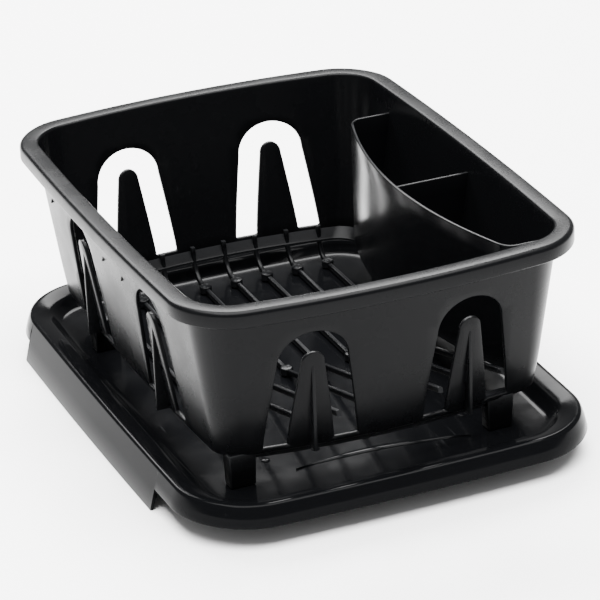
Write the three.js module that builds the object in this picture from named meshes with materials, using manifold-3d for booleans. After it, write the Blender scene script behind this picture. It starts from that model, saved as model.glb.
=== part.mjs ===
// A small dish drying rack: a moulded basket with plate ribs and a cutlery pocket, standing on a
// moulded drip tray. Millimetres, +Z up, front towards -Y, origin on the table under the middle.
import * as THREE from "three";
import { mergeVertices } from "three/addons/utils/BufferGeometryUtils.js";
import Module from "manifold-3d";

const wasm = await Module();
wasm.setup();

// Clearances
const GAP = 0.3; // between neighbouring sub-parts of one moulding, and under the feet
const OVERLAP = 0.6; // how far a joined feature is sunk into the wall that carries it

// Basket wall and rim
const BASKET_WIDTH = 227;
const BASKET_LENGTH = 292.6;
const BASKET_CORNER_RADIUS = 30;
const BASKET_SIDE_BOW = 3.3;
const BASKET_END_BOW = 9.5;
const BASKET_SHIFT_X = 2; // the basket stands a little off the tray's middle
const BASKET_SHIFT_Y = 7.5;
const FOOT_HEIGHT = 17.4;
const WALL_HEIGHT = 90.7; // from the wall's foot to the top of the rim
const WALL_THICKNESS = 2.2;
const WALL_LEAN = 12.4; // how far the wall comes in from rim to foot
const RIM_WIDTH = 10;
const RIM_LIP_DROP = 9;
const RIM_EDGE_ROUND = 1.5;
const RIM_THICKNESS = 2.2;
const CORNER_RUN = 38.3; // how far the end walls carry round the corners, from the rim's end edge

// Drip tray
const TRAY_SIDE_MARGIN = 1; // how far the tray's top edge reaches past the basket's rim, each side
const TRAY_END_MARGIN = 3;
const TRAY_CORNER_RADIUS = 40;
const TRAY_SIDE_BOW = 2; // how far each long side swells past its ends
const TRAY_END_BOW = 3;
const TRAY_HEIGHT = 23;
const TRAY_RIM_WIDTH = 11;
const TRAY_RIM_FALL = 2.2; // the rim slopes down towards the pan
const TRAY_EDGE_ROUND = 1.2;
const TRAY_LIP_DROP = 11.5;
const TRAY_FLARE = 0.24; // outward lean of the lip and the side rails, per unit of height
const TRAY_FLOOR_Z = 15;
const TRAY_WALL = 2;
const PAN_SLOPE_WIDTH = 6; // the pan's sloping inner wall
const RAIL_FRONT_SETBACK = 61; // from the tray's front edge to the rails' front ends
const RAIL_BACK_SETBACK = 40;
const RAIL_WALL = 2.4;
const STUD_COUNT = 5; // a row of low round studs across the front of the pan
const STUD_PITCH = 28;
const STUD_DIAMETER = 5;
const STUD_HEIGHT = 0.8;
const STUD_SETBACK = 60; // from the tray's front edge

// Arched windows with a tongue standing in each
const WINDOW_SPREAD = 45; // from the middle of a wall to the middle of a window, front and back
const WINDOW_SPREAD_SIDE = 55;
const WINDOW_SILL = 3.3;
const WINDOW_HEIGHT = 65;
const WINDOW_FOOT_WIDTH = 52;
const WINDOW_SHOULDER_WIDTH = 39;
const WINDOW_LEG_WIDTH = 13.2;
const TONGUE_TIP_WIDTH = 13;
const TONGUE_TIP_DROP = 12; // the tongue's tip below the top of its window
const TONGUE_RIB_DROP = 8; // the stiffening rib's top below the tongue's tip
const TONGUE_RIB_WALL = 1.8;

// Plate ribs across the floor
const RIB_COUNT = 8;
const RIB_PITCH = 19;
const RIB_WALL = 2.4;
const RIB_DEPTH = 3.2;
const RIB_DROP = 13.7; // the flat run's top below the wall's foot
const RIB_BACK_BEND_SETBACK = 41.3; // from the rim's back edge to the middle of the bend
const RIB_FRONT_BEND_Y = -12;
const RIB_BACK_RISE = 4; // the rib's back end above the wall's foot
const RIB_FRONT_RISE = 17.3;
const RIB_BOSS_DIAMETER = 7;
const RIB_BOSS_PROUD = 1;

// Cutlery pocket on the right wall
const POCKET_TOP_DROP = 12.4; // below the rim
const POCKET_FOOT_RISE = 7.3; // above the wall's foot
const POCKET_FRONT_SETBACK = 38.8; // from the rim's front edge to the pocket's front arm
const POCKET_BACK_SETBACK = 56.8;
const POCKET_OVERHANG = 8.1; // how far the bulging wall reaches in over the last plate rib
const POCKET_BULGE = 14.5; // how far that wall falls back towards its two ends
const POCKET_CORNER_RADIUS = 10;
const POCKET_WALL = 1.8;
const POCKET_FLOOR = 2;
const POCKET_SLOT_WIDTH = 5;
const POCKET_SLOT_MARGIN = 8.85; // from a drain slot's ends to the pocket's walls
const POCKET_SLOT_PITCH = 14;
const POCKET_SLOT_COUNT = 10;

// Feet
const FOOT_WIDTH = 15; // of a front foot; a side foot reaches from the wall to its clearance
const FOOT_LENGTH = 9.5;
const FOOT_FRONT_LEFT_SETBACK = 34.5; // from the rim's edge to the foot's middle
const FOOT_FRONT_RIGHT_SETBACK = 48.5;
const FOOT_BACK_SETBACK = 81.3;
const FOOT_RIB_CLEARANCE = 9.7; // from a side foot to the outermost plate rib beside it

const SEGMENTS_CORNER = 8;
const SEGMENTS_SIDE = 6;
const SEGMENTS_CURVE = 8;
const CUT = 40; // depth of a cutting tool that has to pass right through a wall

const trayFlare = (z) => -TRAY_FLARE * (TRAY_HEIGHT - z);
const wallFootZ = TRAY_FLOOR_Z + GAP + FOOT_HEIGHT;
const rimZ = wallFootZ + WALL_HEIGHT;

const trayWidth = BASKET_WIDTH + 2 * TRAY_SIDE_MARGIN;
const trayLength = BASKET_LENGTH + 2 * TRAY_END_MARGIN;
const cornerSplit = BASKET_LENGTH / 2 - CORNER_RUN;
const ribBackBendY = BASKET_LENGTH / 2 - RIB_BACK_BEND_SETBACK;
const lastRibX = ((RIB_COUNT - 1) / 2) * RIB_PITCH;
const pocketReachX = lastRibX - POCKET_OVERHANG;
const pocketFrontY = POCKET_FRONT_SETBACK - BASKET_LENGTH / 2;
const pocketBackY = BASKET_LENGTH / 2 - POCKET_BACK_SETBACK;
const pocketCentreY = (pocketFrontY + pocketBackY) / 2;

const rackPlastic = { color: 0x16171a, roughness: 0.38, metalness: 0 };
const trayPlastic = { color: 0x121315, roughness: 0.3, metalness: 0 };

// ---- shapes and solids ----

// A closed geometry as a manifold-3d solid.
function toSolid(geometry) {
  const bare = new THREE.BufferGeometry();
  bare.setAttribute("position", geometry.getAttribute("position").clone());
  if (geometry.index) bare.setIndex(geometry.index.clone());
  const merged = mergeVertices(bare, 1e-4);
  const mesh = new wasm.Mesh({
    numProp: 3,
    vertProperties: new Float32Array(merged.getAttribute("position").array),
    triVerts: new Uint32Array(merged.index.array),
  });
  return new wasm.Manifold(mesh);
}

// A manifold-3d solid as a named three.js mesh.
function toMesh(name, solid, plastic) {
  const { numProp, vertProperties, triVerts } = solid.getMesh();
  const count = vertProperties.length / numProp;
  const positions = new Float32Array(count * 3);
  for (let i = 0; i < count; i++) {
    positions.set(vertProperties.subarray(i * numProp, i * numProp + 3), i * 3);
  }
  const geometry = new THREE.BufferGeometry();
  geometry.setAttribute("position", new THREE.BufferAttribute(positions, 3));
  geometry.setIndex(new THREE.BufferAttribute(new Uint32Array(triVerts), 1));
  geometry.computeVertexNormals();
  const mesh = new THREE.Mesh(geometry, new THREE.MeshStandardMaterial(plastic));
  mesh.name = name;
  return mesh;
}

// The plan outline of a moulding, counterclockwise: a rounded rectangle whose sides swell, moved in
// by inset all round.
function outline(form, inset) {
  const halfX = form.width / 2 - inset;
  const halfY = form.length / 2 - inset;
  const radius = Math.max(form.radius - inset, form.leastRadius);
  const points = [];
  for (let corner = 0; corner < 4; corner++) {
    const signX = corner === 0 || corner === 3 ? 1 : -1;
    const signY = corner < 2 ? 1 : -1;
    const centre = new THREE.Vector2(signX * (halfX - radius), signY * (halfY - radius));
    const start = (corner * Math.PI) / 2;
    for (let i = 0; i <= SEGMENTS_CORNER; i++) {
      const angle = start + (i / SEGMENTS_CORNER) * (Math.PI / 2);
      const reach = new THREE.Vector2(Math.cos(angle), Math.sin(angle)).multiplyScalar(radius);
      points.push(reach.add(centre));
    }
    const next = corner % 2 === 0
      ? new THREE.Vector2(-signX * (halfX - radius), signY * halfY)
      : new THREE.Vector2(signX * halfX, -signY * (halfY - radius));
    const last = points[points.length - 1].clone();
    for (let i = 1; i < SEGMENTS_SIDE; i++) {
      points.push(last.clone().lerp(next, i / SEGMENTS_SIDE));
    }
  }
  return points.map((p) => {
    const alongX = p.x / halfX;
    const alongY = p.y / halfY;
    const x = p.x - alongX * form.sideBow * alongY ** 2;
    const y = p.y - alongY * form.endBow * alongX ** 2;
    return new THREE.Vector2(x, y);
  });
}

// A solid through a run of [inset, z] rings of one outline. A closed section joins its last ring to
// its first; otherwise both ends are capped.
function loft(form, section, closedSection) {
  const rings = section.map(([inset, z]) => outline(form, inset).map((p) => [p.x, p.y, z]));
  const size = rings[0].length;
  const positions = rings.flat();
  const index = [];
  const joins = closedSection ? rings.length : rings.length - 1;
  for (let r = 0; r < joins; r++) {
    const low = r * size;
    const high = ((r + 1) % rings.length) * size;
    for (let i = 0; i < size; i++) {
      const j = (i + 1) % size;
      index.push(low + i, low + j, high + j, low + i, high + j, high + i);
    }
  }
  if (!closedSection) {
    const first = positions.push([0, 0, section[0][1]]) - 1;
    const last = positions.push([0, 0, section[section.length - 1][1]]) - 1;
    const top = (rings.length - 1) * size;
    for (let i = 0; i < size; i++) {
      const j = (i + 1) % size;
      index.push(first, j, i, last, top + i, top + j);
    }
  }
  const geometry = new THREE.BufferGeometry();
  geometry.setAttribute("position", new THREE.Float32BufferAttribute(positions.flat(), 3));
  geometry.setIndex(index);
  return toSolid(geometry);
}

function box(lowX, highX, lowY, highY, lowZ, highZ) {
  const geometry = new THREE.BoxGeometry(highX - lowX, highY - lowY, highZ - lowZ);
  geometry.translate((lowX + highX) / 2, (lowY + highY) / 2, (lowZ + highZ) / 2);
  return toSolid(geometry);
}

function upright(radius, x, y, lowZ, highZ) {
  const geometry = new THREE.CylinderGeometry(radius, radius, highZ - lowZ, 2 * SEGMENTS_CURVE);
  geometry.rotateX(Math.PI / 2);
  geometry.translate(x, y, (lowZ + highZ) / 2);
  return toSolid(geometry);
}

// A flat shape extruded straight up, between two heights.
function slab(shape, lowZ, highZ) {
  const settings = { depth: highZ - lowZ, bevelEnabled: false, curveSegments: SEGMENTS_CURVE };
  const geometry = new THREE.ExtrudeGeometry(shape, settings);
  geometry.translate(0, 0, lowZ);
  return toSolid(geometry);
}

// ---- drip tray ----

const trayForm = {
  width: trayWidth,
  length: trayLength,
  radius: TRAY_CORNER_RADIUS,
  leastRadius: 10,
  sideBow: TRAY_SIDE_BOW,
  endBow: TRAY_END_BOW,
};
const lipFootZ = TRAY_HEIGHT - TRAY_LIP_DROP;

const panInset = TRAY_RIM_WIDTH + PAN_SLOPE_WIDTH;

// The pan's flat floor, with a row of studs across its front.
function trayFloor() {
  const section = [
    [panInset + GAP, TRAY_FLOOR_Z - TRAY_WALL],
    [panInset + GAP, TRAY_FLOOR_Z],
  ];
  let floor = loft(trayForm, section, false);
  const studY = -trayLength / 2 + STUD_SETBACK;
  for (let i = 0; i < STUD_COUNT; i++) {
    const x = (i - (STUD_COUNT - 1) / 2) * STUD_PITCH;
    const top = TRAY_FLOOR_Z + STUD_HEIGHT;
    floor = floor.add(upright(STUD_DIAMETER / 2, x, studY, TRAY_FLOOR_Z - OVERLAP, top));
  }
  return floor;
}

// The pan's sloping wall, the rim and the lip that turns down round the edge.
function trayRim() {
  const rimInnerZ = TRAY_HEIGHT - TRAY_RIM_FALL;
  const section = [
    [panInset, TRAY_FLOOR_Z - TRAY_WALL],
    [TRAY_RIM_WIDTH + TRAY_WALL / 2, rimInnerZ - TRAY_WALL],
    [TRAY_WALL, TRAY_HEIGHT - TRAY_WALL],
    [trayFlare(lipFootZ) + TRAY_WALL, lipFootZ],
    [trayFlare(lipFootZ), lipFootZ],
    [0, TRAY_HEIGHT - TRAY_EDGE_ROUND],
    [TRAY_EDGE_ROUND, TRAY_HEIGHT],
    [TRAY_RIM_WIDTH, rimInnerZ],
    [panInset, TRAY_FLOOR_Z],
  ];
  return loft(trayForm, section, true);
}

// The long rail under one side, which the tray stands on: side is -1 for left and 1 for right.
function trayRail(side) {
  const top = lipFootZ - GAP;
  const section = [
    [trayFlare(0) + RAIL_WALL, 0],
    [trayFlare(0), 0],
    [trayFlare(top), top],
    [trayFlare(top) + RAIL_WALL, top],
  ];
  const ring = loft(trayForm, section, true);
  const inner = trayWidth / 2 - TRAY_CORNER_RADIUS;
  const outer = trayWidth / 2 - trayFlare(0) + OVERLAP;
  const front = -trayLength / 2 + RAIL_FRONT_SETBACK;
  const back = trayLength / 2 - RAIL_BACK_SETBACK;
  const reach = side < 0 ? [-outer, -inner] : [inner, outer];
  return ring.intersect(box(...reach, front, back, -OVERLAP, TRAY_HEIGHT));
}

// ---- basket ----

const basketForm = {
  width: BASKET_WIDTH,
  length: BASKET_LENGTH,
  radius: BASKET_CORNER_RADIUS,
  leastRadius: 9,
  sideBow: BASKET_SIDE_BOW,
  endBow: BASKET_END_BOW,
};

// How far the wall's inner face lies inside the rim's edge at a height.
const innerInset = (z) => RIM_WIDTH + (WALL_LEAN * (rimZ - z)) / WALL_HEIGHT;
const outerInset = (z) => innerInset(z) - WALL_THICKNESS;
const underRimZ = rimZ - RIM_THICKNESS;
const wallTopZ = underRimZ - GAP;

// Distance of a wall face from the basket's middle, at a place along the wall.
function endWallY(x, inset) {
  const halfX = BASKET_WIDTH / 2 - inset;
  return BASKET_LENGTH / 2 - inset - BASKET_END_BOW * (x / halfX) ** 2;
}
function sideWallX(y, inset) {
  const halfY = BASKET_LENGTH / 2 - inset;
  return BASKET_WIDTH / 2 - inset - BASKET_SIDE_BOW * (y / halfY) ** 2;
}

// The space inside the basket down to the table, kept clear of the wall by a gap.
function basketSpace() {
  const section = [
    [innerInset(0) + GAP, 0],
    [innerInset(wallFootZ) + GAP, wallFootZ],
    [innerInset(wallTopZ) + GAP, wallTopZ],
  ];
  return loft(basketForm, section, false);
}

// The two-legged window opening that leaves a tongue standing between its legs.
function windowCutter() {
  const half = WINDOW_FOOT_WIDTH / 2;
  const shoulder = WINDOW_SHOULDER_WIDTH / 2;
  const shoulderZ = WINDOW_HEIGHT - shoulder * 0.88;
  const tip = TONGUE_TIP_WIDTH / 2;
  const tipZ = WINDOW_HEIGHT - TONGUE_TIP_DROP;
  const tongueFoot = half - WINDOW_LEG_WIDTH;
  const shape = new THREE.Shape();
  shape.moveTo(-half, 0);
  shape.lineTo(-tongueFoot, 0);
  shape.lineTo(-tip, tipZ - tip);
  shape.absarc(0, tipZ - tip, tip, Math.PI, 0, true);
  shape.lineTo(tongueFoot, 0);
  shape.lineTo(half, 0);
  shape.lineTo(shoulder, shoulderZ);
  shape.absellipse(0, shoulderZ, shoulder, WINDOW_HEIGHT - shoulderZ, 0, Math.PI, false, 0);
  shape.lineTo(-half, 0);
  const settings = { depth: CUT, bevelEnabled: false, curveSegments: SEGMENTS_CURVE };
  const geometry = new THREE.ExtrudeGeometry(shape, settings);
  geometry.rotateX(Math.PI / 2);
  return geometry;
}

// The stiffening rib down the outside of a tongue. Its outer edge is upright while the wall leans.
function tongueRib(reachAt) {
  const footZ = wallFootZ;
  const topZ = wallFootZ + WINDOW_SILL + WINDOW_HEIGHT - TONGUE_TIP_DROP - TONGUE_RIB_DROP;
  const outer = reachAt(outerInset(topZ));
  const shape = new THREE.Shape();
  shape.moveTo(outer, topZ);
  shape.lineTo(reachAt(outerInset(topZ)) - OVERLAP, topZ);
  shape.lineTo(reachAt(outerInset(footZ)) - OVERLAP, footZ);
  shape.lineTo(outer, footZ);
  const settings = { depth: TONGUE_RIB_WALL, bevelEnabled: false };
  const geometry = new THREE.ExtrudeGeometry(shape, settings);
  geometry.translate(0, 0, -TONGUE_RIB_WALL / 2);
  geometry.rotateX(Math.PI / 2);
  return geometry;
}

// One window and its tongue's rib, turned to face a wall: the turn is 0 for the front.
function windowTools(turn, along, reachAt) {
  const sillZ = wallFootZ + WINDOW_SILL;
  const cutter = windowCutter();
  cutter.translate(along, -reachAt(innerInset(sillZ)) + CUT / 4, sillZ);
  cutter.rotateZ(turn);
  const rib = tongueRib(reachAt);
  rib.rotateZ(-Math.PI / 2);
  rib.translate(along, 0, 0);
  rib.rotateZ(turn);
  return { cutter: toSolid(cutter), rib: toSolid(rib) };
}

// The flat rim round the top, with the lip that turns down outside it.
function basketRim() {
  const lipFoot = rimZ - RIM_LIP_DROP;
  const section = [
    [innerInset(underRimZ), underRimZ],
    [RIM_THICKNESS, underRimZ],
    [RIM_THICKNESS, lipFoot],
    [0, lipFoot],
    [0, rimZ - RIM_EDGE_ROUND],
    [RIM_EDGE_ROUND, rimZ],
    [RIM_WIDTH - RIM_EDGE_ROUND, rimZ],
    [RIM_WIDTH, rimZ - RIM_EDGE_ROUND],
  ];
  return loft(basketForm, section, true);
}

// One wall of the basket: the part of the leaning ring inside a region, with its windows.
function basketWall(region, windows) {
  const section = [
    [innerInset(wallFootZ), wallFootZ],
    [outerInset(wallFootZ), wallFootZ],
    [outerInset(wallTopZ), wallTopZ],
    [innerInset(wallTopZ), wallTopZ],
  ];
  let wall = loft(basketForm, section, true).intersect(region);
  for (const tool of windows) wall = wall.subtract(tool.cutter);
  for (const tool of windows) wall = wall.add(tool.rib);
  return wall;
}

// The four walls by name. The right one is plain, because the cutlery pocket covers it.
function basketWalls() {
  const far = BASKET_LENGTH;
  const endFrom = cornerSplit + GAP;
  const front = box(-far, far, -far, -endFrom, 0, far);
  const back = box(-far, far, endFrom, far, 0, far);
  const left = box(-far, 0, -cornerSplit, cornerSplit, 0, far);
  const right = box(0, far, -cornerSplit, cornerSplit, 0, far);
  const endReach = (inset) => endWallY(WINDOW_SPREAD, inset);
  const sideReach = (inset) => sideWallX(WINDOW_SPREAD_SIDE, inset);
  const pair = (turn, spread, reachAt) =>
    [-1, 1].map((side) => windowTools(turn, side * spread, reachAt));
  return {
    wall_front: basketWall(front, pair(0, WINDOW_SPREAD, endReach)),
    wall_back: basketWall(back, pair(Math.PI, WINDOW_SPREAD, endReach)),
    wall_left: basketWall(left, pair(-Math.PI / 2, WINDOW_SPREAD_SIDE, sideReach)),
    wall_right: basketWall(right, []),
  };
}

// One bent rib: down from the back wall, along above the tray, and up a long slope to the front.
function plateRib(x, space) {
  const flatZ = wallFootZ - RIB_DROP;
  const footZ = flatZ - RIB_DEPTH;
  const backTopZ = wallFootZ + RIB_BACK_RISE;
  const frontTopZ = wallFootZ + RIB_FRONT_RISE;
  const backY = endWallY(x, innerInset(wallFootZ)) - GAP;
  const frontY = -endWallY(x, innerInset(frontTopZ));
  const shape = new THREE.Shape();
  shape.moveTo(backY + WALL_THICKNESS, backTopZ);
  shape.lineTo(backY - RIB_DEPTH, backTopZ);
  shape.quadraticCurveTo(backY - RIB_DEPTH, flatZ, ribBackBendY, flatZ);
  shape.lineTo(RIB_FRONT_BEND_Y, flatZ);
  shape.lineTo(frontY, frontTopZ);
  shape.lineTo(frontY, frontTopZ - RIB_DEPTH);
  shape.lineTo(RIB_FRONT_BEND_Y, footZ);
  shape.lineTo(ribBackBendY, footZ);
  shape.quadraticCurveTo(backY, footZ, backY, wallFootZ);
  shape.lineTo(backY + WALL_THICKNESS, wallFootZ);
  const settings = { depth: RIB_WALL, bevelEnabled: false, curveSegments: SEGMENTS_CURVE };
  const geometry = new THREE.ExtrudeGeometry(shape, settings);
  geometry.translate(0, 0, -RIB_WALL / 2);
  geometry.rotateX(Math.PI / 2);
  geometry.rotateZ(Math.PI / 2);
  geometry.translate(x, 0, 0);
  let rib = toSolid(geometry).intersect(space);
  for (const y of [ribBackBendY, RIB_FRONT_BEND_Y]) {
    const radius = RIB_BOSS_DIAMETER / 2;
    rib = rib.add(upright(radius, x, y, footZ, flatZ + RIB_BOSS_PROUD));
  }
  return rib;
}

// The pocket's plan outline: a bulging wall with two arms back to the right wall, moved in by inset.
function pocketShape(inset) {
  const back = pocketBackY - inset;
  const front = pocketFrontY + inset;
  const radius = POCKET_CORNER_RADIUS - inset;
  const far = BASKET_WIDTH / 2;
  const run = (pocketBackY - pocketFrontY) / 2 - POCKET_CORNER_RADIUS;
  const shape = new THREE.Shape();
  shape.moveTo(far, front);
  shape.lineTo(pocketReachX + POCKET_BULGE + POCKET_CORNER_RADIUS, front);
  const cornerX = pocketReachX + POCKET_BULGE + inset;
  shape.quadraticCurveTo(cornerX + radius / 4, front, cornerX, front + radius);
  const steps = 2 * SEGMENTS_CURVE;
  for (let i = 1; i <= steps; i++) {
    const along = -1 + (2 * i) / steps;
    const x = pocketReachX + inset + POCKET_BULGE * along ** 2;
    shape.lineTo(x, pocketCentreY + along * run);
  }
  shape.quadraticCurveTo(cornerX + radius / 4, back, cornerX - inset + POCKET_CORNER_RADIUS, back);
  shape.lineTo(far, back);
  return shape;
}

const pocketFootZ = wallFootZ + POCKET_FOOT_RISE;
const pocketTopZ = rimZ - POCKET_TOP_DROP;

// The cutlery pocket's bulging wall with its two arms.
function pocketWall(space) {
  const whole = slab(pocketShape(0), pocketFootZ, pocketTopZ);
  const hollow = slab(pocketShape(POCKET_WALL), pocketFootZ - OVERLAP, pocketTopZ + OVERLAP);
  return whole.subtract(hollow).intersect(space);
}

// The pocket's floor, with a row of drain slots.
function pocketFloor(space) {
  const plate = slab(pocketShape(POCKET_WALL + GAP), pocketFootZ, pocketFootZ + POCKET_FLOOR);
  let floor = plate.intersect(space);
  const wallX = sideWallX(0, innerInset(pocketFootZ));
  const slotLowX = pocketReachX + POCKET_SLOT_MARGIN;
  const slotHighX = wallX - POCKET_SLOT_MARGIN;
  for (let i = 0; i < POCKET_SLOT_COUNT; i++) {
    const slotY = pocketCentreY + (i - (POCKET_SLOT_COUNT - 1) / 2) * POCKET_SLOT_PITCH;
    const slot = box(
      slotLowX,
      slotHighX,
      slotY - POCKET_SLOT_WIDTH / 2,
      slotY + POCKET_SLOT_WIDTH / 2,
      pocketFootZ - OVERLAP,
      pocketFootZ + POCKET_FLOOR + OVERLAP,
    );
    floor = floor.subtract(slot);
  }
  return floor;
}

// The wall that splits the pocket in two.
function pocketDivider(space) {
  const wall = box(
    pocketReachX + POCKET_WALL + GAP,
    BASKET_WIDTH / 2,
    pocketCentreY - POCKET_WALL / 2,
    pocketCentreY + POCKET_WALL / 2,
    pocketFootZ + POCKET_FLOOR + GAP,
    pocketTopZ,
  );
  return wall.intersect(space);
}

// A block foot under the wall's bottom edge, standing on the tray's floor.
function foot(lowX, highX, middleY) {
  const top = wallFootZ - GAP;
  const half = FOOT_LENGTH / 2;
  return box(lowX, highX, middleY - half, middleY + half, TRAY_FLOOR_Z + GAP, top);
}

// The feet by name: two under the front wall and one under each side.
function feet() {
  const inset = outerInset(wallFootZ);
  const frontFoot = (x) => {
    const y = FOOT_LENGTH / 2 - endWallY(x, inset);
    return foot(x - FOOT_WIDTH / 2, x + FOOT_WIDTH / 2, y);
  };
  const sideY = BASKET_LENGTH / 2 - FOOT_BACK_SETBACK;
  const sideOuterX = sideWallX(sideY, inset);
  const sideInnerX = lastRibX + RIB_WALL / 2 + FOOT_RIB_CLEARANCE;
  return {
    foot_front_left: frontFoot(FOOT_FRONT_LEFT_SETBACK - BASKET_WIDTH / 2),
    foot_front_right: frontFoot(BASKET_WIDTH / 2 - FOOT_FRONT_RIGHT_SETBACK),
    foot_back_left: foot(-sideOuterX, -sideInnerX, sideY),
    foot_back_right: foot(sideInnerX, sideOuterX, sideY),
  };
}

// ---- assembly ----

const tray = new THREE.Group();
tray.add(toMesh("tray_floor", trayFloor(), trayPlastic));
tray.add(toMesh("tray_rim", trayRim(), trayPlastic));
tray.add(toMesh("tray_rail_left", trayRail(-1), trayPlastic));
tray.add(toMesh("tray_rail_right", trayRail(1), trayPlastic));

const basket = new THREE.Group();
basket.position.set(BASKET_SHIFT_X, BASKET_SHIFT_Y, 0);
basket.add(toMesh("rack_rim", basketRim(), rackPlastic));
for (const [name, wall] of Object.entries(basketWalls())) {
  basket.add(toMesh(name, wall, rackPlastic));
}
const space = basketSpace();
basket.add(toMesh("pocket_wall", pocketWall(space), rackPlastic));
basket.add(toMesh("pocket_floor", pocketFloor(space), rackPlastic));
basket.add(toMesh("pocket_divider", pocketDivider(space), rackPlastic));
for (let i = 0; i < RIB_COUNT; i++) {
  const x = i * RIB_PITCH - lastRibX;
  basket.add(toMesh("plate_rib_" + (i + 1), plateRib(x, space), rackPlastic));
}
for (const [name, block] of Object.entries(feet())) {
  basket.add(toMesh(name, block, rackPlastic));
}

const rack = new THREE.Group();
rack.add(tray, basket);
const frontY = -trayLength / 2 + trayFlare(lipFootZ);
const backY = BASKET_SHIFT_Y + BASKET_LENGTH / 2;
rack.position.y = -(frontY + backY) / 2;
export default rack;
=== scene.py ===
import math

import bmesh
import bpy
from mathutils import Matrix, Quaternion, Vector
from mathutils.geometry import delaunay_2d_cdt


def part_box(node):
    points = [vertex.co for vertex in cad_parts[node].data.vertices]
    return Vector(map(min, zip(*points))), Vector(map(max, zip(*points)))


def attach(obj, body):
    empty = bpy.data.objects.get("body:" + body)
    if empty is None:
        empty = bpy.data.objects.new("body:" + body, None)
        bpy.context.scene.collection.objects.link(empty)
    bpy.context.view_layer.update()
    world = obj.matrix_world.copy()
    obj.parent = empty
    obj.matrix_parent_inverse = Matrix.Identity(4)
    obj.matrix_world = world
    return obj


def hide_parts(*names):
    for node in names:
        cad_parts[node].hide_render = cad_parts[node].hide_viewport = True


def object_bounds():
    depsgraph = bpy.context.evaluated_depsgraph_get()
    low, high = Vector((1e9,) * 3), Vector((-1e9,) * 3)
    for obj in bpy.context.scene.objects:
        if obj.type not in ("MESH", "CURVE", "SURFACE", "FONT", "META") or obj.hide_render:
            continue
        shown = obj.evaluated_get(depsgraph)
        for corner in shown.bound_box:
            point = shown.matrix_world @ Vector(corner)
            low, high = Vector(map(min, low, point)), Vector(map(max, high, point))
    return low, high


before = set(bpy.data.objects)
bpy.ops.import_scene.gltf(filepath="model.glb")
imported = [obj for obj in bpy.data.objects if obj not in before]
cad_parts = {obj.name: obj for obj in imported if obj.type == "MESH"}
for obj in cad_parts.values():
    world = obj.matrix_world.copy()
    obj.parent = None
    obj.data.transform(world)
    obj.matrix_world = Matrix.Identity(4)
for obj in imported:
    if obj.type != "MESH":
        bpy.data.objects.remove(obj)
cad_low, cad_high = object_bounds()
mm = 0.001

# ---- camera ----
# A long lens set well back, turned a little to the left of the front and looking down on the rack.
camera_data = bpy.data.cameras.new("camera")
camera_data.lens = 197.2
camera_data.sensor_width = 36
camera = bpy.data.objects.new("camera", camera_data)
bpy.context.scene.collection.objects.link(camera)
bpy.context.scene.camera = camera
camera_turn = math.radians(-22.52)
camera_height = math.radians(25.25)
camera_roll = math.radians(-2.18)
camera_aim = Vector((-4.0 * mm, -19.4 * mm, 65.1 * mm))
camera_distance = 1.745
camera_back = Vector((
    math.sin(camera_turn) * math.cos(camera_height),
    -math.cos(camera_turn) * math.cos(camera_height),
    math.sin(camera_height),
))
camera.location = camera_aim + camera_back * camera_distance
camera.rotation_mode = "QUATERNION"
level = (-camera_back).to_track_quat("-Z", "Y")
camera.rotation_quaternion = level @ Quaternion((0, 0, 1), camera_roll)

# ---- basket shell ----
# The rack's leaning wall and the flat rolled rim round its top, one continuous skin of black
# plastic about 2 mm thick, injection moulded with six arched windows.
rim_low, rim_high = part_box("rack_rim")
wall_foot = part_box("wall_front")[0].z
basket_middle = (rim_low + rim_high) / 2
rim_top = rim_high.z
rim_width = 10 * mm
rim_lip = rim_high.z - rim_low.z
wall_thick = 2.2 * mm
wall_lean = 12.4 * mm / (rim_top - wall_foot)


def side_lengths(form):
    """Half the straight run of a long side and of an end, and a corner's length, along the edge."""
    return (
        form["half_y"] - form["corner"],
        form["half_x"] - form["corner"],
        form["corner"] * math.pi / 2,
    )


def side_middle(form, side):
    """Distance round the edge to a side's middle. Sides: 0 right, 1 back, 2 left, 3 front."""
    long_run, end_run, corner_run = side_lengths(form)
    return side * (long_run + end_run + corner_run)


def edge_point(form, along, inset, z):
    """A point on a moulding's rounded outline whose sides swell, moved in by inset."""
    half = (form["half_x"] - inset, form["half_y"] - inset)
    radius = max(form["corner"] - inset, form["least_corner"])
    runs = side_lengths(form)
    total = 4 * sum(runs)
    along = (along + runs[0]) % total
    for side in range(4):
        run = runs[side % 2]
        out, across = half[side % 2], half[(side + 1) % 2]
        if along <= 2 * run or side == 3 and along < 2 * run + 1e-12:
            place = along - run
            true = form["true_run"][side % 2]
            if abs(place) > true:
                share = (abs(place) - true) / (run - true)
                place = math.copysign(true + share * (across - radius - true), place)
            flat = Vector((out, place))
            break
        along -= 2 * run
        if along <= runs[2] or side == 3:
            turn = min(along / runs[2], 1) * math.pi / 2
            flat = Vector((out - radius, across - radius))
            flat += radius * Vector((math.cos(turn), math.sin(turn)))
            break
        along -= runs[2]
    x, y = [(flat.x, flat.y), (-flat.y, flat.x), (-flat.x, -flat.y), (flat.y, -flat.x)][side]
    bowed_x = x - x / half[0] * form["side_bow"] * (y / half[1]) ** 2
    bowed_y = y - y / half[1] * form["end_bow"] * (x / half[0]) ** 2
    middle = form["middle"]
    return Vector((middle.x + bowed_x, middle.y + bowed_y, z))


def edge_steps(form, side_step, corner_count):
    """Stations round a moulding's edge: even along the sides and finer round the corners."""
    runs = side_lengths(form)
    stations, start = [], -runs[0]
    for side in range(4):
        run = 2 * runs[side % 2]
        count = math.ceil(run / side_step)
        stations += [start + run * i / count for i in range(count)]
        start += run
        stations += [start + runs[2] * i / corner_count for i in range(corner_count)]
        start += runs[2]
    return stations


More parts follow.
